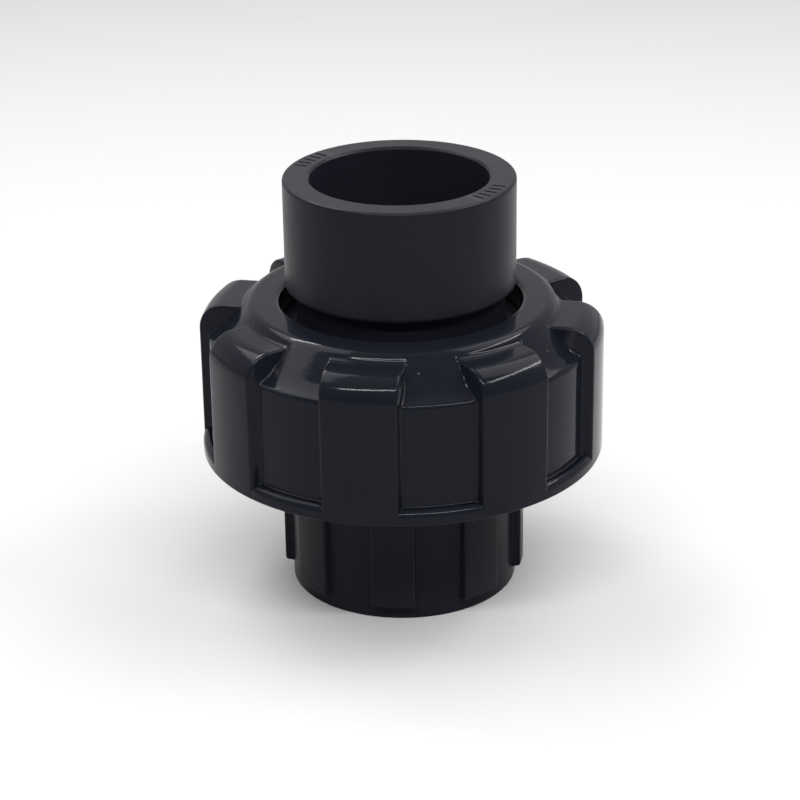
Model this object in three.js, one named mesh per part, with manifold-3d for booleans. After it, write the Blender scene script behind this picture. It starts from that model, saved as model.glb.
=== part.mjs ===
// Pipe union for 3/4 in (DN 20) pipe: two solvent-weld socket ends that meet face to face, an O-ring between
// them, and a lobed hand nut that pulls them together. Millimetres, +Z up, the pipe axis on Z, and the lower
// socket's end face at z = 0. The nut is drawn fully tightened.

import * as THREE from 'three';
import { mergeVertices } from 'three/addons/utils/BufferGeometryUtils.js';
import Module from 'manifold-3d';

const wasm = await Module();
wasm.setup();

// ---- Driving dimensions ----

const HEIGHT = 65.3; // end face to end face
const GAP = 0.3; // clearance between neighbouring pieces

// Both sockets, for a pipe 26.7 mm across
const SOCKET_OUTER_R = 17.5;
const SOCKET_MOUTH_R = 13.45; // the bore tapers gently, so the pipe wedges before it bottoms
const SOCKET_STOP_R = 13.25;
const SOCKET_DEPTH = 20;
const MOUTH_CHAMFER = 0.35;
const RIM_CHAMFER = 0.5;
const WATERWAY_R = 10.2;

// Lower half
const FACE_Z = 38.1; // the sealing face that carries the O-ring
const RIB_COUNT = 8;
const RIB_OUTER_R = 18.8;
const RIB_WIDTH = 6.66;
const RIB_BOTTOM_Z = 2.3;
const RIB_PHASE = -5.4; // degrees from -Y towards +X
const FLARE_START_Z = 18.6;
const FLARE_END_Z = 22.8;

// Thread, one start, right hand
const PITCH = 4;
const MALE_ROOT_R = 22.9;
const MALE_CREST_R = 24.6;
const FEMALE_CREST_R = 23.3;
const FEMALE_ROOT_R = 25;
const RIDGE_BASE_WIDTH = 2.6;
const RIDGE_CREST_WIDTH = 1.2;
const RIDGE_EMBED = 0.4; // how far a ridge is sunk into the wall that it stands on
const MALE_START_Z = 26.4; // height of the ridge's middle where it starts
const MALE_TURNS = 2.5;
const FEMALE_START_Z = MALE_START_Z - PITCH / 2; // midway between the male ridges
const FEMALE_TURNS = 3;
const SEGMENTS_PER_TURN = 32;

// O-ring and its groove
const RING_R = 16.4;
const RING_SECTION_R = 1.6;
const GROOVE_DEPTH = 2 * RING_SECTION_R + GAP;
const GROOVE_HALF_WIDTH = RING_SECTION_R + GAP;

// Tail piece
const TAIL_FACE_Z = FACE_Z + GAP;
const COLLAR_R = 22.7;
const COLLAR_THICKNESS = 3.5;
const NECK_R = 15.8;
const BARREL_BOTTOM_Z = 48.2; // where the socket barrel steps in to the neck

// Nut
const NUT_BOTTOM_Z = 22.2;
const NUT_TOP_Z = 46.2;
const NUT_BORE_R = 18.4;
const NUT_R = 30.9; // over the skirt and the lobes
const SKIRT_TOP_Z = 24.5;
const RECESS_R = 29.3;
const RECESS_TOP_Z = 40.35;
const SCOOP_R = 7.1; // radius of the hollow slope above each recess
const SCOOP_LOW_SLOPE = 22; // degrees below level where the slope leaves the recess
const SCOOP_HIGH_SLOPE = 46.5; // degrees below level where it runs up to the top ring
const TOP_RING_R = 22.15; // outer radius of the flat top
const TOP_EDGE_R = 1.9; // rounding between the flat top and the slope
const LIP_THICKNESS = 4;
const COLLAR_POCKET_R = 23.3;
const LOBE_COUNT = 8;
const LOBE_WIDTH = 11.48;
const LOBE_TOP_Z = 44.85;
const LOBE_SHOULDER_R = 4;
const LOBE_BLEND_R = 2.4; // hollow between the lobe's flat top and the ring
const LOBE_BLEND_END_R = 25.2; // where that hollow meets the flat top
const LOBE_PHASE = -12.2; // degrees from -Y towards +X
const EDGE = 0.5; // small chamfers

// Facets and joins
const ROUND_SEGMENTS = 48; // facets round each turned piece
const ARC_STEPS = 5; // facets along a profile's larger arcs
const SINK = 1; // how far a rib or a lobe runs into the solid that it stands on

// Colours
const BODY_COLOR = 0x26282f;
const NUT_COLOR = 0x22252d;
const RUBBER_COLOR = 0x111111;

// ---- Helpers ----

const radians = THREE.MathUtils.degToRad;

/** Points of a circular arc in a lathe profile, from one angle to another in degrees. */
function arc(centreR, centreZ, radius, fromAngle, toAngle, steps) {
  const points = [];
  for (let i = 0; i <= steps; i += 1) {
    const angle = radians(fromAngle + ((toAngle - fromAngle) * i) / steps);
    points.push([centreR + radius * Math.cos(angle), centreZ + radius * Math.sin(angle)]);
  }
  return points;
}

/** A solid of revolution about Z. The profile runs up the outside and down the inside. */
function revolve(profile) {
  const points = [...profile, profile[0]].map(([r, z]) => new THREE.Vector2(r, z));
  return new THREE.LatheGeometry(points, ROUND_SEGMENTS).rotateX(Math.PI / 2);
}

/** A closed geometry as a manifold-3d solid. */
function toSolid(geometry) {
  const bare = geometry.clone();
  bare.deleteAttribute('normal');
  bare.deleteAttribute('uv');
  const merged = mergeVertices(bare, 1e-4);
  const vertProperties = new Float32Array(merged.attributes.position.array);
  const triVerts = new Uint32Array(merged.index.array);
  return new wasm.Manifold(new wasm.Mesh({ numProp: 3, vertProperties, triVerts }));
}

/** A manifold-3d solid as a geometry that a mesh can show. */
function toGeometry(solid) {
  const { vertProperties, triVerts } = solid.getMesh();
  const geometry = new THREE.BufferGeometry();
  geometry.setAttribute('position', new THREE.BufferAttribute(vertProperties, 3));
  geometry.setIndex(new THREE.BufferAttribute(triVerts, 1));
  geometry.computeVertexNormals();
  return geometry;
}

/** Keeps the parts of a ring that lie within bars of one width, spread evenly round the axis. */
function barsOfRing(ring, count, width, phase) {
  const length = 3 * NUT_R; // longer than any ring is wide
  const height = 2 * HEIGHT; // and taller
  let bars = null;
  for (let i = 0; i < count / 2; i += 1) {
    const box = new THREE.BoxGeometry(width, length, height).rotateZ(radians(phase + (360 / count) * i));
    const bar = toSolid(box).intersect(ring);
    bars = bars ? bars.add(bar) : bar;
  }
  return bars;
}

/** A helical thread ridge, right hand. Its base is sunk into the wall at wallR and its crest is at crestR. */
function threadRidge(wallR, crestR, startZ, turns) {
  const embedR = wallR + Math.sign(wallR - crestR) * RIDGE_EMBED;
  const corners = [
    [embedR, -RIDGE_BASE_WIDTH / 2],
    [crestR, -RIDGE_CREST_WIDTH / 2],
    [crestR, RIDGE_CREST_WIDTH / 2],
    [embedR, RIDGE_BASE_WIDTH / 2],
  ];
  if (crestR < wallR) corners.reverse();
  const steps = Math.round(turns * SEGMENTS_PER_TURN);
  const positions = [];
  for (let i = 0; i <= steps; i += 1) {
    const angle = (2 * Math.PI * i) / SEGMENTS_PER_TURN;
    const z = startZ + (PITCH * i) / SEGMENTS_PER_TURN;
    for (const [r, dz] of corners) positions.push(r * Math.cos(angle), r * Math.sin(angle), z + dz);
  }
  const index = [];
  const count = corners.length;
  for (let i = 0; i < steps; i += 1) {
    for (let k = 0; k < count; k += 1) {
      const a = i * count + k;
      const b = i * count + ((k + 1) % count);
      index.push(a, a + count, b, b, a + count, b + count);
    }
  }
  const last = steps * count;
  for (let k = 1; k < count - 1; k += 1) {
    index.push(0, k, k + 1);
    index.push(last, last + k + 1, last + k);
  }
  const geometry = new THREE.BufferGeometry();
  geometry.setAttribute('position', new THREE.Float32BufferAttribute(positions, 3));
  geometry.setIndex(index);
  return geometry;
}

/** Outline of a socket's bore, from the waterway out to the mouth. towardsEnd is 1 up and -1 down. */
function socketBore(endZ, towardsEnd) {
  const stopZ = endZ - towardsEnd * SOCKET_DEPTH;
  return [
    [WATERWAY_R, stopZ],
    [SOCKET_STOP_R, stopZ],
    [SOCKET_MOUTH_R, endZ - towardsEnd * MOUTH_CHAMFER],
    [SOCKET_MOUTH_R + MOUTH_CHAMFER, endZ],
    [SOCKET_OUTER_R - RIM_CHAMFER, endZ],
    [SOCKET_OUTER_R, endZ - towardsEnd * RIM_CHAMFER],
  ];
}

// ---- Pieces ----

function tailPiece() {
  const collarTopZ = TAIL_FACE_Z + COLLAR_THICKNESS;
  const profile = [
    [WATERWAY_R, TAIL_FACE_Z],
    [COLLAR_R - EDGE, TAIL_FACE_Z],
    [COLLAR_R, TAIL_FACE_Z + EDGE],
    [COLLAR_R, collarTopZ - EDGE],
    [COLLAR_R - EDGE, collarTopZ],
    [NECK_R, collarTopZ],
    [NECK_R, BARREL_BOTTOM_Z],
    [SOCKET_OUTER_R, BARREL_BOTTOM_Z],
    ...socketBore(HEIGHT, 1).reverse(),
  ];
  return revolve(profile);
}

function threadedBody() {
  const barrel = [
    ...socketBore(0, -1),
    [SOCKET_OUTER_R, FLARE_START_Z],
    [MALE_ROOT_R, FLARE_END_Z],
    [MALE_ROOT_R, FACE_Z - EDGE],
    [MALE_ROOT_R - EDGE, FACE_Z],
    [RING_R + GROOVE_HALF_WIDTH, FACE_Z],
    [RING_R + GROOVE_HALF_WIDTH, FACE_Z - GROOVE_DEPTH],
    [RING_R - GROOVE_HALF_WIDTH, FACE_Z - GROOVE_DEPTH],
    [RING_R - GROOVE_HALF_WIDTH, FACE_Z],
    [WATERWAY_R, FACE_Z],
  ];
  const ribRing = [
    [SOCKET_OUTER_R - SINK, RIB_BOTTOM_Z],
    [RIB_OUTER_R, RIB_BOTTOM_Z],
    [RIB_OUTER_R, FLARE_END_Z - SINK],
    [SOCKET_OUTER_R - SINK, FLARE_END_Z - SINK],
  ];
  const ribs = barsOfRing(toSolid(revolve(ribRing)), RIB_COUNT, RIB_WIDTH, RIB_PHASE);
  const thread = toSolid(threadRidge(MALE_ROOT_R, MALE_CREST_R, MALE_START_Z, MALE_TURNS));
  return toGeometry(toSolid(revolve(barrel)).add(ribs).add(thread));
}

function oRing() {
  const sides = 8;
  return revolve(arc(RING_R, FACE_Z - RING_SECTION_R, RING_SECTION_R, 0, 360 - 360 / sides, sides - 1));
}

function unionNut() {
  const lipZ = NUT_TOP_Z - LIP_THICKNESS;
  const scoopCentreR = RECESS_R + SCOOP_R * Math.sin(radians(SCOOP_LOW_SLOPE));
  const scoopCentreZ = RECESS_TOP_Z + SCOOP_R * Math.cos(radians(SCOOP_LOW_SLOPE));
  const core = [
    [FEMALE_ROOT_R + EDGE, NUT_BOTTOM_Z],
    [NUT_R - EDGE, NUT_BOTTOM_Z],
    [NUT_R, NUT_BOTTOM_Z + EDGE],
    [NUT_R, SKIRT_TOP_Z],
    [RECESS_R, SKIRT_TOP_Z],
    ...arc(scoopCentreR, scoopCentreZ, SCOOP_R, -90 - SCOOP_LOW_SLOPE, -90 - SCOOP_HIGH_SLOPE, ARC_STEPS),
    ...arc(TOP_RING_R, NUT_TOP_Z - TOP_EDGE_R, TOP_EDGE_R, 90 - SCOOP_HIGH_SLOPE, 90, 3),
    [NUT_BORE_R, NUT_TOP_Z],
    [NUT_BORE_R, lipZ],
    [COLLAR_POCKET_R, lipZ],
    [COLLAR_POCKET_R, TAIL_FACE_Z],
    [FEMALE_ROOT_R, TAIL_FACE_Z],
    [FEMALE_ROOT_R, NUT_BOTTOM_Z + EDGE],
  ];
  const wallMiddleR = (FEMALE_ROOT_R + RECESS_R) / 2;
  const lobeRing = [
    [wallMiddleR, SKIRT_TOP_Z - SINK],
    [NUT_R, SKIRT_TOP_Z - SINK],
    ...arc(NUT_R - LOBE_SHOULDER_R, LOBE_TOP_Z - LOBE_SHOULDER_R, LOBE_SHOULDER_R, 0, 90, ARC_STEPS),
    ...arc(LOBE_BLEND_END_R, LOBE_TOP_Z + LOBE_BLEND_R, LOBE_BLEND_R, -90, -90 - SCOOP_HIGH_SLOPE, 3),
    [COLLAR_POCKET_R + SINK, RECESS_TOP_Z],
    [wallMiddleR, TAIL_FACE_Z - SINK],
  ];
  const lobes = barsOfRing(toSolid(revolve(lobeRing)), LOBE_COUNT, LOBE_WIDTH, LOBE_PHASE);
  const thread = toSolid(threadRidge(FEMALE_ROOT_R, FEMALE_CREST_R, FEMALE_START_Z, FEMALE_TURNS));
  return toGeometry(toSolid(revolve(core)).add(lobes).add(thread));
}

// ---- Assembly ----

function piece(name, geometry, color, roughness) {
  const material = new THREE.MeshStandardMaterial({ color, roughness, metalness: 0 });
  const mesh = new THREE.Mesh(geometry, material);
  mesh.name = name;
  return mesh;
}

const union = new THREE.Group();
union.add(piece('threaded_body', threadedBody(), BODY_COLOR, 0.4));
union.add(piece('o_ring', oRing(), RUBBER_COLOR, 0.7));
union.add(piece('tail_piece', tailPiece(), BODY_COLOR, 0.4));
union.add(piece('union_nut', unionNut(), NUT_COLOR, 0.2));

export default union;
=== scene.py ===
"""Plastic pipe union for 3/4 in (DN 20) pipe: the visible pieces, their materials and the studio.

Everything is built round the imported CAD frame, in metres, with +Z up and the pipe axis on Z. Detail sizes
are given in millimetres and scaled when a mesh is made. Angles round the axis run from -Y towards +X.
"""

import math

import bmesh
import bpy
from mathutils import Matrix, Vector


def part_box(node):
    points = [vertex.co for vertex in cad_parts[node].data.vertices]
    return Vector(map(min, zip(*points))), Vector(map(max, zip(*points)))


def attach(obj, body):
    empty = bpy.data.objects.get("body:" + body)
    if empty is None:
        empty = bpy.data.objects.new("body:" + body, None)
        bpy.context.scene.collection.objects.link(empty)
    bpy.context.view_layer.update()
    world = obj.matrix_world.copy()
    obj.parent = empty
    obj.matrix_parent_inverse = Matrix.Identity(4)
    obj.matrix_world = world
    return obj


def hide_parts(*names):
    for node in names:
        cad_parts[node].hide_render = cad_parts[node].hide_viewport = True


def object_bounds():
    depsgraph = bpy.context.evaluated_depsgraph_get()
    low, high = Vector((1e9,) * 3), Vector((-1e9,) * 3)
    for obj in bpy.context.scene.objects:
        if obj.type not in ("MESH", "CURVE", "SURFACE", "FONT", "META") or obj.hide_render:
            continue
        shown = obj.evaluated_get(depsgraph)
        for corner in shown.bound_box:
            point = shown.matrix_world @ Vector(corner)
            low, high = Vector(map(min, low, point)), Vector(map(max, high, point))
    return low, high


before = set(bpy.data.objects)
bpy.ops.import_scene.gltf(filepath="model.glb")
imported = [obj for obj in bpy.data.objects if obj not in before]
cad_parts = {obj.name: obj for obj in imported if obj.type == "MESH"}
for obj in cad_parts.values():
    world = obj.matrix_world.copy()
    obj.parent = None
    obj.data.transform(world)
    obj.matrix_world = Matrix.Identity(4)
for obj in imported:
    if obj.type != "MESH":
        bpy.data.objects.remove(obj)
CAD_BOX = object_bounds()

MM = 0.001

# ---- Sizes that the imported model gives, in mm ----


def box_mm(node):
    """Lowest and highest corner of a CAD node, in mm."""
    low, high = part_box(node)
    return [v / MM for v in low], [v / MM for v in high]


NUT_LOW, NUT_HIGH = box_mm("union_nut")
TAIL_LOW, TAIL_HIGH = box_mm("tail_piece")
BODY_LOW, BODY_HIGH = box_mm("threaded_body")
RING_LOW, RING_HIGH = box_mm("o_ring")

# ---- Sizes of the details, in mm. ROUND is the radius that an edge is rounded to ----

# Both sockets
SOCKET_R = 17.5
RIM_ROUND = 0.45  # the upper rim, which is worn
FOOT_ROUND = 0.2  # the lower one
MOUTH_R = 13.45
MOUTH_CHAMFER = 0.35
STOP_R = 13.25
MOUTH_ROUND = 0.15
STOP_ROUND = 0.25
SOCKET_DEPTH = 20
WATERWAY_R = 10.2
WATERWAY_ROUND = 0.3

# Tail piece
COLLAR_THICKNESS = 3.5
COLLAR_ROUND = 0.4
NECK_R = 15.8
NECK_FOOT_ROUND = 0.5
NECK_TOP_ROUND = 0.8
BARREL_BOTTOM_Z = 48.2
BARREL_BOTTOM_ROUND = 0.75
TAIL_COLUMNS = 160

# Marks on the upper rim: plain bars cut in where the real piece is marked
MARK_ANGLES = (-120.0, 58.0)
MARK_DEPTH = 0.12
BARS_EACH_SIDE = 2  # of a group's middle bar
BAR_LENGTH = 2.1
BAR_WIDTH = 0.42
BAR_SPACING = 5.4  # degrees
BAR_ROUND = 0.18

# Threaded body
RIBS = 8
RIB_R = 18.8
RIB_HALF_WIDTH = 3.33
RIB_BOTTOM_Z = 2.3
RIB_PHASE = -5.4
RIB_EDGE_ROUND = 0.25
RIB_FOOT_ROUND = 0.25
RIB_END_ROUND = 0.3
FLARE_START_Z = 18.6
FLARE_END_Z = 22.8
FLARE_START_ROUND = 1.5
FLARE_END_ROUND = 0.6
FACE_ROUND = 0.5
GROOVE_HALF_WIDTH = 1.9
GROOVE_DEPTH = 3.5
GROOVE_EDGE_ROUND = 0.15
GROOVE_FLOOR_ROUND = 0.2

# Thread, one start, right hand
PITCH = 4.0
MALE_ROOT_R = 22.9
MALE_CREST_R = 24.6
FEMALE_CREST_R = 23.3
FEMALE_ROOT_R = 25.0
RIDGE_BASE = 2.6
RIDGE_CREST = 1.2
RIDGE_SINK = 0.4  # how far a ridge reaches into its wall
RIDGE_NIP = 0.18  # rounding of the crest's corners
RIDGE_END_SINK = 0.08  # how far a ridge's crest lies under the wall at its ends
RIDGE_FADE = 30  # degrees over which an end sinks into the wall
RIDGE_STEPS = 120  # per turn
MALE_START_Z = 26.4
MALE_TURNS = 2.5
FEMALE_START_Z = MALE_START_Z - PITCH / 2
FEMALE_TURNS = 3.0

# Nut
NUT_R = NUT_HIGH[0]
LOBES = 8
LOBE_HALF_WIDTH = 5.74
LOBE_PHASE = -12.2
LOBE_TOP_Z = 44.85
LOBE_EDGE_ROUND = 0.4
LOBE_FOOT_ROUND = 0.5
SHOULDER_R = 4.0
RECESS_R = 29.3
RECESS_TOP_Z = 40.35
RECESS_FOOT_ROUND = 0.3
SKIRT_TOP_Z = 24.5
SKIRT_TOP_ROUND = 1.1
SKIRT_BOTTOM_ROUND = 0.25
SCOOP_R = 7.1
SCOOP_LOW_SLOPE = 22.0
SCOOP_HIGH_SLOPE = 46.5
BROW_ROUND = 0.8
TOP_RING_R = 22.15
TOP_ROUND = 1.9
LOBE_SLOPE = 58.0  # the steepest part of the ring's edge, where it meets a lobe
NUT_BORE_R = 18.4
BORE_ROUND = 0.8
LIP_THICKNESS = 4.0
LIP_ROUND = 0.3
POCKET_R = 23.3
POCKET_ROUND = 0.2
THREAD_TOP_ROUND = 0.3
LEAD_IN = 0.5
LEAD_IN_ROUND = 0.2


# ---- Profiles ----


def arc(centre_r, centre_z, radius, start, end, steps):
    """Points of an arc from one angle to another, in degrees."""
    points = []
    for i in range(steps + 1):
        angle = math.radians(start + (end - start) * i / steps)
        points.append((centre_r + radius * math.cos(angle), centre_z + radius * math.sin(angle)))
    return points


def rounded(corners):
    """A profile through corners (r, z, radius), each rounded off, with a support point beside each arc."""
    arc_step = math.radians(18)
    furthest, share, nearest = 0.25, 0.3, 0.05  # a support point's distance: most, part of the room, least
    points = []
    for i, (r, z, radius) in enumerate(corners):
        corner = Vector((r, z))
        if radius == 0:
            points.append(tuple(corner))
            continue
        before = Vector(corners[i - 1][:2]) - corner
        after = Vector(corners[(i + 1) % len(corners)][:2]) - corner
        room = min(before.length, after.length)
        before.normalize()
        after.normalize()
        opening = before.angle(after)
        reach = radius / math.tan(opening / 2)
        centre = corner + (before + after).normalized() * radius / math.sin(opening / 2)
        start = corner + before * reach - centre
        sweep = start.angle_signed(corner + after * reach - centre)
        steps = max(3, math.ceil(abs(sweep) / arc_step))
        support = min(furthest, share * (room - reach))
        if support > nearest:
            points.append(tuple(corner + before * (reach + support)))
        for k in range(steps + 1):
            turned = start.copy()
            turned.rotate(Matrix.Rotation(-sweep * k / steps, 2))
            points.append(tuple(centre + turned))
        if support > nearest:
            points.append(tuple(corner + after * (reach + support)))
    return points


def even(points, count):
    """The same line again as count evenly spaced points."""
    lengths = [0.0]
    for a, b in zip(points, points[1:]):
        lengths.append(lengths[-1] + math.dist(a, b))
    result = []
    k = 0
    for i in range(count):
        target = lengths[-1] * i / (count - 1)
        while k < len(points) - 2 and lengths[k + 1] < target:
            k += 1
        share = (target - lengths[k]) / (lengths[k + 1] - lengths[k])
        result.append(tuple(a + (b - a) * share for a, b in zip(points[k], points[k + 1])))
    return result


# ---- Meshes ----


def grid_mesh(name, columns):
    """A closed mesh from columns of points in mm. Both ways round, the last point joins the first."""
    mesh = bpy.data.meshes.new(name)
    count = len(columns[0])
    vertices = [tuple(v * MM for v in point) for column in columns for point in column]
    faces = []
    for j in range(len(columns)):
        here = j * count
        there = (j + 1) % len(columns) * count
        for i in range(count):
            k = (i + 1) % count
            faces.append((here + i, there + i, there + k, here + k))
    mesh.from_pydata(vertices, [], faces)
    return finished(name, mesh)


def finished(name, mesh):
    """An object that holds the mesh, with its faces turned outwards and smooth."""
    shape = bmesh.new()
    shape.from_mesh(mesh)
    bmesh.ops.recalc_face_normals(shape, faces=shape.faces)
    for face in shape.faces:
        face.smooth = True
    shape.to_mesh(mesh)
    shape.free()
    obj = bpy.data.objects.new(name, mesh)
    bpy.context.scene.collection.objects.link(obj)
    return obj


def around(r, z, angle):
    """The point at radius r and height z, at an angle in radians from -Y towards +X."""
    return (r * math.sin(angle), -r * math.cos(angle), z)


def turned(name, profile, columns):
    """A profile turned about the axis."""
    angles = [2 * math.pi * j / columns for j in range(columns)]
    return grid_mesh(name, [[around(r, z, angle) for r, z in profile] for angle in angles])


def ribbed(name, rows, count, half_width, phase, convex, concave, flat_steps, gap_steps, inner_r):
    """A turned shape with parallel-sided ribs spread evenly round it.

    Each row of the profile is a pair: the point between the ribs and the matching point on a rib. The ribs'
    sides are upright planes, rounded to convex where they meet the rib's face and to concave at their foot.
    On a low part of a rib the two roundings shrink to a share of its height.
    """
    draft = 0.06
    support = 0.3  # distance from the convex rounding to the next column on the rib's face
    most_convex, most_concave = 0.5, 0.4
    round_angles = [math.radians(a) for a in (0, 22.5, 45, 67.5, 90)]
    flat = half_width - convex - support
    edge = half_width + draft + concave
    side = [("rib", flat, 0.0)]
    side += [("round", half_width - convex * (1 - math.sin(a)), 1 - math.cos(a)) for a in round_angles]
    side += [("foot", edge - concave * math.cos(a), 1 - math.sin(a)) for a in round_angles]
    across = [("rib", flat * (2 * i / flat_steps - 1), 0.0) for i in range(1, flat_steps)]
    mirrored = [(kind, -u, share) for kind, u, share in reversed(side)]
    specs = mirrored + across + side

    def rib_point(low, high, kind, u, share):
        height = math.dist(low, high)
        lift = 1.0
        if height > 1e-6 and kind == "round":
            lift = 1 - share * min(convex / height, most_convex)
        elif height > 1e-6 and kind == "foot":
            lift = share * min(concave / height, most_concave)
        r, z = (a + (b - a) * lift for a, b in zip(low, high))
        return r, z, math.asin(u / max(r, inner_r))

    pitch = 2 * math.pi / count
    columns = []
    for n in range(count):
        middle = math.radians(phase) + n * pitch
        for kind, u, share in specs:
            column = []
            for low, high in rows:
                r, z, angle = rib_point(low, high, kind, u, share)
                column.append(around(r, z, middle + angle))
            columns.append(column)
        for i in range(1, gap_steps):
            column = []
            for low, _ in rows:
                start = math.asin(edge / max(low[0], inner_r))
                angle = start + (pitch - 2 * start) * i / gap_steps
                column.append(around(*low, middle + angle))
            columns.append(column)
    return grid_mesh(name, columns)


def thread_ridge(name, wall_r, crest_r, start_z, turns):
    """A right-hand helical ridge that fades into the wall at both ends."""
    outward = math.copysign(1, crest_r - wall_r)
    height = abs(crest_r - wall_r)
    slope = (RIDGE_BASE - RIDGE_CREST) / 2 / height
    nip = RIDGE_NIP
    section = [
        (-RIDGE_SINK, RIDGE_BASE / 2 + RIDGE_SINK * slope),
        (height - nip, RIDGE_CREST / 2 + nip * slope),
        (height - 0.3 * nip, RIDGE_CREST / 2 - 0.3 * nip),
        (height, RIDGE_CREST / 2 - nip),
    ]
    section += [(rise, -half) for rise, half in reversed(section)]
    steps = round(turns * RIDGE_STEPS)
    shape = bmesh.new()
    rings = []
    for i in range(steps + 1):
        angle = 2 * math.pi * i / RIDGE_STEPS
        from_end = min(i, steps - i) * 360 / RIDGE_STEPS
        swell = min(1.0, from_end / RIDGE_FADE)
        swell = swell * swell * (3 - 2 * swell)
        ring = []
        for rise, dz in section:
            r = wall_r + outward * (rise if rise < 0 else rise * swell - RIDGE_END_SINK * (1 - swell))
            z = start_z + PITCH * i / RIDGE_STEPS + dz
            ring.append(shape.verts.new(Vector((r * math.cos(angle), r * math.sin(angle), z)) * MM))
        rings.append(ring)
    for a, b in zip(rings, rings[1:]):
        for k in range(len(section)):
            m = (k + 1) % len(section)
            shape.faces.new((a[k], a[m], b[m], b[k]))
    shape.faces.new(rings[0])
    shape.faces.new(rings[-1])
    mesh = bpy.data.meshes.new(name)
    shape.to_mesh(mesh)
    shape.free()
    return finished(name, mesh)


def combined(obj, tool, operation):
    """obj after a Boolean with tool, which is used up. Steep edges are kept crisp."""
    crisp_angle = math.radians(38)
    step = obj.modifiers.new("combine", "BOOLEAN")
    step.operation = operation
    step.solver = "MANIFOLD"
    step.object = tool
    bpy.context.view_layer.update()
    evaluated = obj.evaluated_get(bpy.context.evaluated_depsgraph_get())
    result = bpy.data.meshes.new_from_object(evaluated)
    obj.modifiers.clear()
    used = [obj.data, tool.data]
    obj.data = result
    bpy.data.objects.remove(tool)
    for mesh in used:
        bpy.data.meshes.remove(mesh)
    result.name = obj.name
    for polygon in result.polygons:
        polygon.use_smooth = True
    result.set_sharp_from_angle(angle=crisp_angle)
    return obj


def socket(end_z, towards_end, rim_round):
    """Corners of a socket from the waterway out to the rim. towards_end is 1 up and -1 down."""
    stop_z = end_z - towards_end * SOCKET_DEPTH
    return [
        (WATERWAY_R, stop_z, WATERWAY_ROUND),
        (STOP_R, stop_z, STOP_ROUND),
        (MOUTH_R, end_z - towards_end * MOUTH_CHAMFER, MOUTH_ROUND),
        (MOUTH_R + MOUTH_CHAMFER, end_z, MOUTH_ROUND),
        (SOCKET_R, end_z, rim_round),
    ]


def bars(angles, radius, top_z, depth):
    """Groups of short radial cutters, standing in place of the lettering on the rim."""
    shape = bmesh.new()
    for group in angles:
        for k in range(-BARS_EACH_SIDE, BARS_EACH_SIDE + 1):
            angle = math.radians(group + k * BAR_SPACING)
            made = bmesh.ops.create_cube(shape, size=1)["verts"]
            bmesh.ops.scale(shape, verts=made, vec=Vector((BAR_WIDTH, BAR_LENGTH, 2 * depth)) * MM)
            bmesh.ops.translate(shape, verts=made, vec=Vector((0, -radius, top_z)) * MM)
            bmesh.ops.rotate(shape, verts=made, matrix=Matrix.Rotation(angle, 3, "Z"))
    upright = [e for e in shape.edges if abs(e.verts[0].co.z - e.verts[1].co.z) > 0.5 * depth * MM]
    bmesh.ops.bevel(shape, geom=upright, offset=BAR_ROUND * MM, segments=4, affect="EDGES", profile=0.5)
    mesh = bpy.data.meshes.new("bars")
    shape.to_mesh(mesh)
    shape.free()
    return finished("bars", mesh)


# ---- Pieces ----


def tail_piece():
    """The upper half: collar, undercut neck and socket barrel, with the marks on its rim."""
    face_z, end_z = TAIL_LOW[2], TAIL_HIGH[2]
    collar_r = TAIL_HIGH[0]
    collar_top = face_z + COLLAR_THICKNESS
    corners = [
        (WATERWAY_R, face_z, WATERWAY_ROUND),
        (collar_r, face_z, COLLAR_ROUND),
        (collar_r, collar_top, COLLAR_ROUND),
        (NECK_R, collar_top, NECK_FOOT_ROUND),
        (NECK_R, BARREL_BOTTOM_Z, NECK_TOP_ROUND),
        (SOCKET_R, BARREL_BOTTOM_Z, BARREL_BOTTOM_ROUND),
    ]
    corners += list(reversed(socket(end_z, 1, RIM_ROUND)))
    tail = turned("tail_piece_moulding", rounded(corners), TAIL_COLUMNS)
    rim_middle_r = (MOUTH_R + MOUTH_CHAMFER + SOCKET_R) / 2
    return combined(tail, bars(MARK_ANGLES, rim_middle_r, end_z, MARK_DEPTH), "DIFFERENCE")


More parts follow.
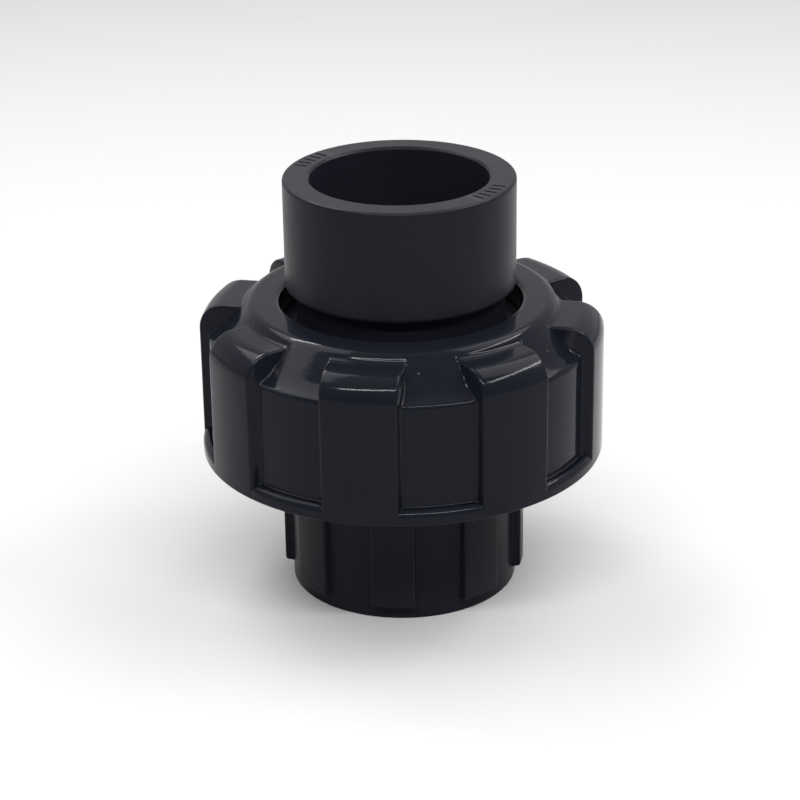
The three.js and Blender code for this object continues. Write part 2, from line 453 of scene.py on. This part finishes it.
def threaded_body():
    """The lower half: ribbed socket, flare, external thread and sealing face with its groove."""
    face_z, end_z = BODY_HIGH[2], BODY_LOW[2]
    groove_r = (RING_HIGH[0] * 2 - (RING_HIGH[2] - RING_LOW[2])) / 2
    corners = [(WATERWAY_R, face_z, 0)] + socket(end_z, -1, FOOT_ROUND) + [(SOCKET_R, FLARE_START_Z, 0)]
    mouth = rounded(corners)[1:-1]
    flare = rounded([
        (SOCKET_R, RIB_BOTTOM_Z, 0),
        (SOCKET_R, FLARE_START_Z, FLARE_START_ROUND),
        (MALE_ROOT_R, FLARE_END_Z, FLARE_END_ROUND),
        (MALE_ROOT_R, face_z, FACE_ROUND),
        (groove_r + GROOVE_HALF_WIDTH, face_z, GROOVE_EDGE_ROUND),
        (groove_r + GROOVE_HALF_WIDTH, face_z - GROOVE_DEPTH, GROOVE_FLOOR_ROUND),
        (groove_r - GROOVE_HALF_WIDTH, face_z - GROOVE_DEPTH, GROOVE_FLOOR_ROUND),
        (groove_r - GROOVE_HALF_WIDTH, face_z, GROOVE_EDGE_ROUND),
        (WATERWAY_R, face_z, WATERWAY_ROUND),
        (WATERWAY_R, end_z, 0),
    ])[1:-1]
    half = RIB_END_ROUND / 2
    rib_end = [
        (SOCKET_R, RIB_BOTTOM_Z - RIB_END_ROUND),
        (SOCKET_R + 0.05, RIB_BOTTOM_Z - 0.06),
        (RIB_R - RIB_END_ROUND, RIB_BOTTOM_Z),
        (RIB_R - 0.3 * RIB_END_ROUND, RIB_BOTTOM_Z + 0.3 * RIB_END_ROUND),
        (RIB_R, RIB_BOTTOM_Z + RIB_END_ROUND),
    ]
    rows = [(point, point) for point in mouth]
    rows += [((SOCKET_R, RIB_BOTTOM_Z + half * (i - 2)), point) for i, point in enumerate(rib_end)]
    for r, z in flare:
        rows.append(((r, z), (max(r, RIB_R) if z < FLARE_END_Z else r, z)))
    body = ribbed(
        "threaded_body_moulding", rows, RIBS, RIB_HALF_WIDTH, RIB_PHASE, RIB_EDGE_ROUND, RIB_FOOT_ROUND,
        flat_steps=4, gap_steps=6, inner_r=SOCKET_R,
    )
    ridge = thread_ridge("male_ridge", MALE_ROOT_R, MALE_CREST_R, MALE_START_Z, MALE_TURNS)
    return combined(body, ridge, "UNION")


def nut_outer_rows():
    """Pairs of matching points up the outside of the nut: in a recess and on a lobe."""
    recess_foot = rounded([
        (NUT_R, NUT_LOW[2], 0),
        (NUT_R, SKIRT_TOP_Z, SKIRT_TOP_ROUND),
        (RECESS_R, SKIRT_TOP_Z, RECESS_FOOT_ROUND),
        (RECESS_R, RECESS_TOP_Z, 0),
    ])[1:-1]
    foot_z = [recess_foot[0][1], recess_foot[-1][1]]
    rows = []
    for i, point in enumerate(recess_foot):
        share = i / (len(recess_foot) - 1)
        rows.append((point, (NUT_R, foot_z[0] + (foot_z[1] - foot_z[0]) * share)))

    low_slope = math.radians(SCOOP_LOW_SLOPE)
    centre_r = RECESS_R + SCOOP_R * math.sin(low_slope)
    centre_z = RECESS_TOP_Z + SCOOP_R * math.cos(low_slope)
    scoop = arc(centre_r, centre_z, SCOOP_R, -90 - SCOOP_LOW_SLOPE, -90 - SCOOP_HIGH_SLOPE, 30)
    brow_end = 9  # the scoop's point where the rounding of its lower edge is over
    brow_corners = [(RECESS_R, SKIRT_TOP_Z, 0), (RECESS_R, RECESS_TOP_Z, BROW_ROUND), scoop[brow_end] + (0,)]
    brow = rounded(brow_corners)[1:-1]
    shoulder_z = LOBE_TOP_Z - SHOULDER_R
    shoulder = arc(NUT_R - SHOULDER_R, shoulder_z, SHOULDER_R, 0, 90, 14)
    for share in (0.34, 0.67):
        low = (RECESS_R, foot_z[1] + (brow[0][1] - foot_z[1]) * share)
        rows.append((low, (NUT_R, foot_z[1] + (shoulder_z - foot_z[1]) * share)))
    lower = brow + even(scoop[brow_end + 2:], len(shoulder) - len(brow))
    rows += list(zip(lower, shoulder))

    arc_z = NUT_HIGH[2] - TOP_ROUND
    ring = arc(TOP_RING_R, arc_z, TOP_ROUND, 90 - SCOOP_HIGH_SLOPE, 90, 10)
    steepest = arc(TOP_RING_R, arc_z, TOP_ROUND, 90 - LOBE_SLOPE, 90 - SCOOP_HIGH_SLOPE, 3)
    slope = math.radians(LOBE_SLOPE)
    blend_r = (steepest[0][1] - LOBE_TOP_Z) / (1 - math.cos(slope))
    blend_end_r = steepest[0][0] + blend_r * math.sin(slope)
    blend = arc(blend_end_r, LOBE_TOP_Z + blend_r, blend_r, -90, -90 - LOBE_SLOPE, 8) + steepest[1:]
    rows += list(zip(even([scoop[-1], ring[0]], len(blend) + 1)[1:], blend))
    rows += [(point, point) for point in ring[1:]]
    return rows


def union_nut():
    """The hand nut: lobes and scoops outside, lip, collar pocket and thread inside."""
    bottom_z, top_z = NUT_LOW[2], NUT_HIGH[2]
    rows = nut_outer_rows()
    lip_z = top_z - LIP_THICKNESS
    inside = rounded([
        (TOP_RING_R, top_z, 0),
        (NUT_BORE_R, top_z, BORE_ROUND),
        (NUT_BORE_R, lip_z, LIP_ROUND),
        (POCKET_R, lip_z, LIP_ROUND),
        (POCKET_R, TAIL_LOW[2], POCKET_ROUND),
        (FEMALE_ROOT_R, TAIL_LOW[2], THREAD_TOP_ROUND),
        (FEMALE_ROOT_R, bottom_z + LEAD_IN, LEAD_IN_ROUND),
        (FEMALE_ROOT_R + LEAD_IN, bottom_z, LEAD_IN_ROUND),
        (NUT_R, bottom_z, SKIRT_BOTTOM_ROUND),
        (NUT_R, SKIRT_TOP_Z, 0),
    ])[1:-1]
    rows += [(point, point) for point in inside]
    nut = ribbed(
        "union_nut_moulding", rows, LOBES, LOBE_HALF_WIDTH, LOBE_PHASE, LOBE_EDGE_ROUND, LOBE_FOOT_ROUND,
        flat_steps=8, gap_steps=8, inner_r=TOP_RING_R,
    )
    ridge = thread_ridge("female_ridge", FEMALE_ROOT_R, FEMALE_CREST_R, FEMALE_START_Z, FEMALE_TURNS)
    return combined(nut, ridge, "UNION")


def o_ring():
    """The face seal, round and unsqueezed."""
    section_r = (RING_HIGH[2] - RING_LOW[2]) / 2
    centre_r = RING_HIGH[0] - section_r
    return turned("o_ring_seal", arc(centre_r, RING_HIGH[2] - section_r, section_r, 0, 337.5, 15), 128)


# ---- Materials ----


def new_material(name):
    """A material with an empty node tree, and the tree."""
    material = bpy.data.materials.new(name)
    material.use_nodes = True
    material.node_tree.nodes.clear()
    return material, material.node_tree


def node(tree, kind, values=(), **settings):
    """Adds a node. values are (input, number, colour or output to link) pairs."""
    made = tree.nodes.new(kind)
    for key, value in settings.items():
        setattr(made, key, value)
    for key, value in values:
        if isinstance(value, bpy.types.NodeSocket):
            tree.links.new(value, made.inputs[key])
        else:
            made.inputs[key].default_value = value
    return made


def noise(tree, place, scale, detail, distortion=0.0):
    """Noise in the range 0 to 1, with scale features to the metre."""
    values = [("Vector", place), ("Scale", scale), ("Detail", detail), ("Distortion", distortion)]
    return node(tree, "ShaderNodeTexNoise", values).outputs["Fac"]


def ramp(tree, source, stops):
    """A colour ramp of grey levels: stops are (position, level)."""
    made = node(tree, "ShaderNodeValToRGB", [("Fac", source)])
    elements = made.color_ramp.elements
    while len(elements) < len(stops):
        elements.new(0.5)
    for element, (position, level) in zip(elements, stops):
        element.position = position
        element.color = (level, level, level, 1)
    return made.outputs["Color"]


def math_node(tree, operation, a, b):
    """a and b, each a number or an output, put through a Math node."""
    return node(tree, "ShaderNodeMath", [(0, a), (1, b)], operation=operation).outputs["Value"]


def mixed(tree, share, a, b):
    """Colour a where share is 0 and b where it is 1."""
    made = node(tree, "ShaderNodeMix", data_type="RGBA")
    for socket_index, value in ((0, share), (6, a), (7, b)):
        if isinstance(value, bpy.types.NodeSocket):
            tree.links.new(value, made.inputs[socket_index])
        else:
            made.inputs[socket_index].default_value = value
    return made.outputs[2]


def moulded_plastic(name, colour, pale, roughness, spread, grain_mm, grain_height, ior):
    """Moulded PVC: soft mottling, a fine moulded grain, hairline scratches, dust and paler, worn edges.

    roughness is the clean surface's value and spread how much it wanders. grain_mm is the size of the
    moulded grain and grain_height its depth, both in mm.
    """
    material, tree = new_material(name)
    place = node(tree, "ShaderNodeTexCoord").outputs["Object"]
    flow = noise(tree, place, 70.0, 3.0, distortion=0.6)
    mottle = ramp(tree, flow, [(0.3, 0.0), (0.7, 1.0)])
    grain = noise(tree, place, 1000.0 / grain_mm, 4.0)

    lines = []
    for turn in ((0.4, 0.2, 0.9), (1.3, 0.7, 2.2)):
        stretched = node(
            tree,
            "ShaderNodeMapping",
            [("Vector", place), ("Rotation", turn), ("Scale", (60.0, 2600.0, 2600.0))],
        )
        streaks = noise(tree, stretched.outputs["Vector"], 1.0, 2.0)
        lines.append(ramp(tree, streaks, [(0.7, 0.0), (0.78, 1.0)]))
    scratches = math_node(tree, "MAXIMUM", *lines)

    cells = node(
        tree, "ShaderNodeTexVoronoi", [("Vector", place), ("Scale", 420.0), ("Randomness", 1.0)]
    )
    speck = ramp(tree, cells.outputs["Distance"], [(0.05, 1.0), (0.09, 0.0)])
    chosen = node(tree, "ShaderNodeSeparateColor", [("Color", cells.outputs["Color"])]).outputs["Red"]
    dust = math_node(tree, "MULTIPLY", speck, ramp(tree, chosen, [(0.97, 0.0), (0.98, 1.0)]))

    shape = node(tree, "ShaderNodeNewGeometry").outputs["Pointiness"]
    edges = ramp(tree, shape, [(0.53, 0.0), (0.62, 1.0)])
    worn = math_node(tree, "MULTIPLY", edges, ramp(tree, flow, [(0.35, 0.3), (0.6, 1.0)]))

    tint = mixed(tree, mottle, (*colour, 1), (*(1.18 * c for c in colour), 1))
    tint = mixed(tree, math_node(tree, "MULTIPLY", worn, 0.35), tint, (*pale, 1))
    tint = mixed(tree, math_node(tree, "MULTIPLY", scratches, 0.06), tint, (*pale, 1))
    tint = mixed(tree, math_node(tree, "MULTIPLY", dust, 0.35), tint, (0.09, 0.09, 0.09, 1))

    rough = node(
        tree,
        "ShaderNodeMapRange",
        [("Value", flow), ("From Min", 0.3), ("From Max", 0.7)]
        + [("To Min", roughness - spread), ("To Max", roughness + spread)],
    ).outputs["Result"]
    rough = math_node(tree, "ADD", rough, math_node(tree, "MULTIPLY", scratches, 0.1))
    rough = math_node(tree, "ADD", rough, math_node(tree, "MULTIPLY", dust, 0.4))
    rough = math_node(tree, "ADD", rough, math_node(tree, "MULTIPLY", worn, 0.06))

    bump = node(
        tree,
        "ShaderNodeBump",
        [("Height", grain), ("Distance", grain_height * MM), ("Strength", 1.0)],
    )
    cut = node(
        tree,
        "ShaderNodeBump",
        [("Height", scratches), ("Distance", 0.004 * MM), ("Strength", 0.35)]
        + [("Normal", bump.outputs["Normal"])],
        invert=True,
    )
    shader = node(
        tree,
        "ShaderNodeBsdfPrincipled",
        [("Base Color", tint), ("Roughness", rough), ("Normal", cut.outputs["Normal"]), ("IOR", ior)],
    )
    node(tree, "ShaderNodeOutputMaterial", [("Surface", shader.outputs["BSDF"])])
    return material


def rubber(name):
    """Matt black seal rubber with a fine grain and a dusting of mould release."""
    material, tree = new_material(name)
    place = node(tree, "ShaderNodeTexCoord").outputs["Object"]
    bloom = noise(tree, place, 260.0, 5.0)
    grain = noise(tree, place, 5000.0, 2.0)
    share = ramp(tree, bloom, [(0.4, 0.0), (0.75, 1.0)])
    tint = mixed(tree, share, (0.006, 0.006, 0.006, 1), (0.02, 0.02, 0.021, 1))
    rough = ramp(tree, bloom, [(0.3, 0.55), (0.7, 0.75)])
    bump = node(tree, "ShaderNodeBump", [("Height", grain), ("Distance", 0.01 * MM)])
    shader = node(
        tree,
        "ShaderNodeBsdfPrincipled",
        [("Base Color", tint), ("Roughness", rough), ("Normal", bump.outputs["Normal"])],
    )
    node(tree, "ShaderNodeOutputMaterial", [("Surface", shader.outputs["BSDF"])])
    return material


NUT_PLASTIC = moulded_plastic(
    "nut_gloss_pvc",
    colour=(0.0060, 0.0067, 0.0104),
    pale=(0.05, 0.052, 0.06),
    roughness=0.1,
    spread=0.02,
    grain_mm=1.1,
    grain_height=0.014,
    ior=1.19,
)
BODY_PLASTIC = moulded_plastic(
    "body_satin_pvc",
    colour=(0.0074, 0.0074, 0.0117),
    pale=(0.06, 0.06, 0.066),
    roughness=0.34,
    spread=0.04,
    grain_mm=0.35,
    grain_height=0.004,
    ior=1.19,
)
SEAL_RUBBER = rubber("seal_epdm")


# ---- The object ----


def place_piece(piece, body, node_name, material):
    """Gives a piece its material, lets it ride on its body and stand for its CAD node."""
    piece.data.materials.clear()
    piece.data.materials.append(material)
    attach(piece, body)
    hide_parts(node_name)


place_piece(threaded_body(), "threaded_body", "threaded_body", BODY_PLASTIC)
place_piece(o_ring(), "threaded_body", "o_ring", SEAL_RUBBER)
place_piece(tail_piece(), "tail_piece", "tail_piece", BODY_PLASTIC)
place_piece(union_nut(), "union_nut", "union_nut", NUT_PLASTIC)

# ---- Studio ----

FLOOR_WIDTH = 6.0  # metres
FLOOR_GAP = 0.02  # mm under the object
SURROUND_FRONT = 0.3  # the plain white surround's strength in front of the object, and behind it
SURROUND_BACK = 0.79
STRIP_DISTANCE = 500  # mm
STRIPS = (  # azimuth from the front towards +X and elevation in degrees, length and width in mm, watts
    (2, 54, 540, 24, 2.2),
    (88, 49, 400, 28, 1.05),
    (120, 58, 380, 250, 0.85),
    (-147, 53, 240, 20, 0.55),
    (-114, 58, 420, 270, 1.3),
)
CAMERA_DISTANCE = 356.0
CAMERA_HEIGHT = 184.4
CAMERA_PITCH = 0.41217  # radians downwards
CAMERA_ROLL = -0.0143
CAMERA_YAW = -0.0010
LENS_MM = 113.1
SENSOR_MM = 36


def floor():
    """A large plain floor just under the object."""
    material, tree = new_material("pale_floor")
    shader = node(
        tree,
        "ShaderNodeBsdfPrincipled",
        [("Base Color", (0.48, 0.48, 0.48, 1)), ("Roughness", 0.85), ("IOR", 1.2)],
    )
    node(tree, "ShaderNodeOutputMaterial", [("Surface", shader.outputs["BSDF"])])
    half = FLOOR_WIDTH / 2
    corners = [(-half, -half, 0), (half, -half, 0), (half, half, 0), (-half, half, 0)]
    mesh = bpy.data.meshes.new("floor")
    mesh.from_pydata(corners, [], [(0, 1, 2, 3)])
    obj = bpy.data.objects.new("floor", mesh)
    obj.location.z = CAD_BOX[0][2] - FLOOR_GAP * MM
    mesh.materials.append(material)
    bpy.context.scene.collection.objects.link(obj)


def softbox(name, place, target, size, power):
    """A rectangular area light at place, aimed at target, both in mm."""
    light = bpy.data.lights.new(name, "AREA")
    light.shape = "RECTANGLE"
    light.size, light.size_y = (s * MM for s in size)
    light.energy = power
    obj = bpy.data.objects.new(name, light)
    obj.location = Vector(place) * MM
    obj.rotation_euler = (Vector(target) - Vector(place)).to_track_quat("-Z", "Y").to_euler()
    bpy.context.scene.collection.objects.link(obj)


def studio():
    """The surround, brighter behind the object than in front, and the lights."""
    world = bpy.data.worlds.new("studio")
    world.use_nodes = True
    background = world.node_tree.nodes["Background"]
    background.inputs["Color"].default_value = (1, 1, 1, 1)
    tree = world.node_tree
    direction = node(tree, "ShaderNodeTexCoord").outputs["Generated"]
    towards_back = node(tree, "ShaderNodeSeparateXYZ", [("Vector", direction)]).outputs["Y"]
    strength = node(
        tree,
        "ShaderNodeMapRange",
        [("Value", towards_back), ("From Min", -0.8), ("From Max", 0.3)]
        + [("To Min", SURROUND_FRONT), ("To Max", SURROUND_BACK)],
        interpolation_type="SMOOTHSTEP",
    )
    tree.links.new(strength.outputs["Result"], background.inputs["Strength"])
    bpy.context.scene.world = world
    middle = (0, 0, 35)
    for index, (azimuth, elevation, length, width, power) in enumerate(STRIPS):
        along, up = math.radians(azimuth), math.radians(elevation)
        reach = STRIP_DISTANCE * math.cos(up)
        place = around(reach, STRIP_DISTANCE * math.sin(up), along)
        softbox(f"strip_{index}", place, middle, (length, width), power)


def camera():
    """The photograph's viewpoint: in front, looking down, with a long lens."""
    yaw_sin, yaw_cos = math.sin(CAMERA_YAW), math.cos(CAMERA_YAW)
    pitch_sin, pitch_cos = math.sin(CAMERA_PITCH), math.cos(CAMERA_PITCH)
    roll_sin, roll_cos = math.sin(CAMERA_ROLL), math.cos(CAMERA_ROLL)
    forward = Vector((yaw_sin * pitch_cos, yaw_cos * pitch_cos, -pitch_sin))
    level = Vector((yaw_cos, -yaw_sin, 0))
    upright = level.cross(forward)
    right = roll_cos * level + roll_sin * upright
    up = roll_cos * upright - roll_sin * level
    lens = bpy.data.cameras.new("camera")
    lens.sensor_width = SENSOR_MM
    lens.lens = LENS_MM
    lens.clip_start = 0.01
    obj = bpy.data.objects.new("camera", lens)
    turn = Matrix((right, up, -forward)).transposed().to_4x4()
    place = Vector((0, -CAMERA_DISTANCE, CAMERA_HEIGHT)) * MM
    obj.matrix_world = Matrix.Translation(place) @ turn
    bpy.context.scene.collection.objects.link(obj)
    bpy.context.scene.camera = obj


floor()
studio()
camera()
bpy.context.scene.view_settings.view_transform = "Standard"
